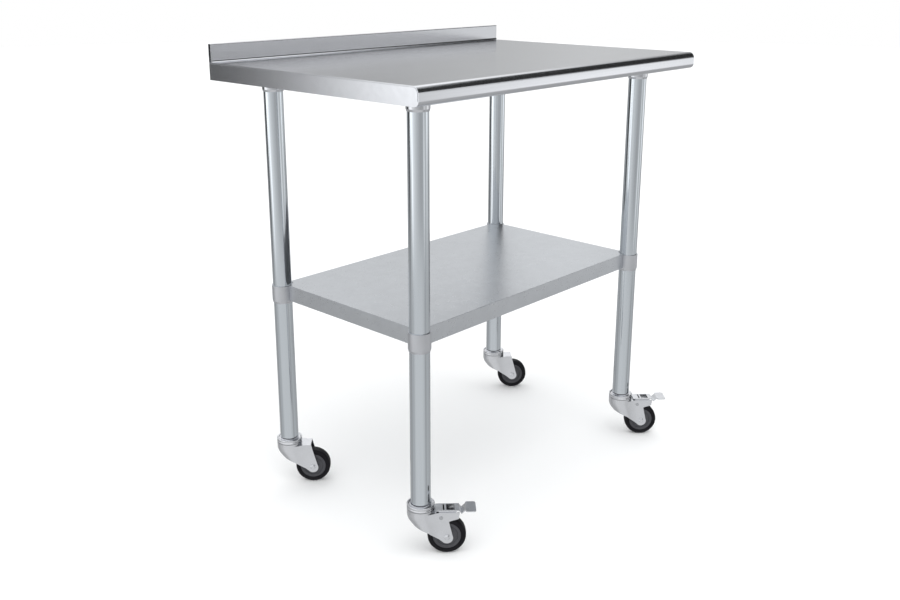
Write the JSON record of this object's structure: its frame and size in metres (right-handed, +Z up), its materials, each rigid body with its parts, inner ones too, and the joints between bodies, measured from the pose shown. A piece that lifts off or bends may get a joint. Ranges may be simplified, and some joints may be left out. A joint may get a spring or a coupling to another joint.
{
  "type": "rolling work table",
  "caption": "Rolling stainless work table with a rolled front edge, a low splash along the back, tube legs, an undershelf and swivel casters, the front ones with foot brakes.",
  "frame": {"origin": "on the floor, under the middle of the table's outline", "axes": "+X to the right, +Y towards the wall and the splash, +Z up; all casters trail towards +X and -Y at rest"},
  "size_m": [0.9144, 0.6096, 1.0063],
  "materials": {
    "stainless": "satin brushed stainless sheet",
    "galvanised": "galvanised sheet, soft satin",
    "leg_tube": "smooth galvanised tube",
    "cast_aluminium": "die cast, satin",
    "zinc_plate": "bright zinc plated pressed steel",
    "steel": "plain steel",
    "tyre": "dark rubber, slightly glossy",
    "hub_plastic": "moulded, matt",
    "black_plastic": "moulded, matt",
    "dark_screws": "black oxide"
  },
  "bodies": {
    "frame": {"worktop": "stainless", "centre_channel": "galvanised", "left_cross_channel": "galvanised", "right_cross_channel": "galvanised", "socket_screws": "dark_screws", "undershelf": "galvanised", "shelf_channel": "galvanised", "collar_screws": "dark_screws", "leg_inserts": "black_plastic", "front_left_socket": "stainless", "front_left_leg": "leg_tube", "front_left_shelf_collar": "cast_aluminium", "front_left_upper_race": "zinc_plate", "front_left_kingpin": "zinc_plate", "front_right_socket": "stainless", "front_right_leg": "leg_tube", "front_right_shelf_collar": "cast_aluminium", "front_right_upper_race": "zinc_plate", "front_right_kingpin": "zinc_plate", "back_left_socket": "stainless", "back_left_leg": "leg_tube", "back_left_shelf_collar": "cast_aluminium", "back_left_upper_race": "zinc_plate", "back_left_kingpin": "zinc_plate", "back_right_socket": "stainless", "back_right_leg": "leg_tube", "back_right_shelf_collar": "cast_aluminium", "back_right_upper_race": "zinc_plate", "back_right_kingpin": "zinc_plate"},
    "front_left_swivel": {"front_left_fork": "zinc_plate", "front_left_swivel_balls": "steel", "front_left_axle_bushing": "steel", "front_left_axle_bolt_and_nut": "zinc_plate", "front_left_brake_pin": "steel", "front_left_brake_spring": "steel"},
    "front_left_wheel": {"front_left_tyre": "tyre", "front_left_wheel_hub": "hub_plastic"},
    "front_left_brake": {"front_left_brake_lever": "zinc_plate"},
    "front_right_swivel": {"front_right_fork": "zinc_plate", "front_right_swivel_balls": "steel", "front_right_axle_bushing": "steel", "front_right_axle_bolt_and_nut": "zinc_plate", "front_right_brake_pin": "steel", "front_right_brake_spring": "steel"},
    "front_right_wheel": {"front_right_tyre": "tyre", "front_right_wheel_hub": "hub_plastic"},
    "front_right_brake": {"front_right_brake_lever": "zinc_plate"},
    "back_left_swivel": {"back_left_fork": "zinc_plate", "back_left_swivel_balls": "steel", "back_left_axle_bushing": "steel", "back_left_axle_bolt_and_nut": "zinc_plate"},
    "back_left_wheel": {"back_left_tyre": "tyre", "back_left_wheel_hub": "hub_plastic"},
    "back_right_swivel": {"back_right_fork": "zinc_plate", "back_right_swivel_balls": "steel", "back_right_axle_bushing": "steel", "back_right_axle_bolt_and_nut": "zinc_plate"},
    "back_right_wheel": {"back_right_tyre": "tyre", "back_right_wheel_hub": "hub_plastic"}
  },
  "joints": [
    {"name": "front_left_swivel_turn", "type": "hinge", "parent": "frame", "child": "front_left_swivel", "pos_m": [-0.3655, -0.2131, 0.1], "axis": [0, 0, 1], "continuous": true},
    {"name": "front_left_wheel_turn", "type": "hinge", "parent": "front_left_swivel", "child": "front_left_wheel", "pos_m": [-0.32802, -0.25058, 0.04], "axis": [0.7071, 0.7071, 0], "continuous": true},
    {"name": "front_left_brake_press", "type": "hinge", "parent": "front_left_swivel", "child": "front_left_brake", "pos_m": [-0.33651, -0.24209, 0.0845], "axis": [0.7071, 0.7071, 0], "range_deg": [0, 7]},
    {"name": "front_right_swivel_turn", "type": "hinge", "parent": "frame", "child": "front_right_swivel", "pos_m": [0.3655, -0.2131, 0.1], "axis": [0, 0, 1], "continuous": true},
    {"name": "front_right_wheel_turn", "type": "hinge", "parent": "front_right_swivel", "child": "front_right_wheel", "pos_m": [0.40298, -0.25058, 0.04], "axis": [0.7071, 0.7071, 0], "continuous": true},
    {"name": "front_right_brake_press", "type": "hinge", "parent": "front_right_swivel", "child": "front_right_brake", "pos_m": [0.39449, -0.24209, 0.0845], "axis": [0.7071, 0.7071, 0], "range_deg": [0, 7]},
    {"name": "back_left_swivel_turn", "type": "hinge", "parent": "frame", "child": "back_left_swivel", "pos_m": [-0.3655, 0.2131, 0.1], "axis": [0, 0, 1], "continuous": true},
    {"name": "back_left_wheel_turn", "type": "hinge", "parent": "back_left_swivel", "child": "back_left_wheel", "pos_m": [-0.32802, 0.17562, 0.04], "axis": [0.7071, 0.7071, 0], "continuous": true},
    {"name": "back_right_swivel_turn", "type": "hinge", "parent": "frame", "child": "back_right_swivel", "pos_m": [0.3655, 0.2131, 0.1], "axis": [0, 0, 1], "continuous": true},
    {"name": "back_right_wheel_turn", "type": "hinge", "parent": "back_right_swivel", "child": "back_right_wheel", "pos_m": [0.40298, 0.17562, 0.04], "axis": [0.7071, 0.7071, 0], "continuous": true}
  ]
}
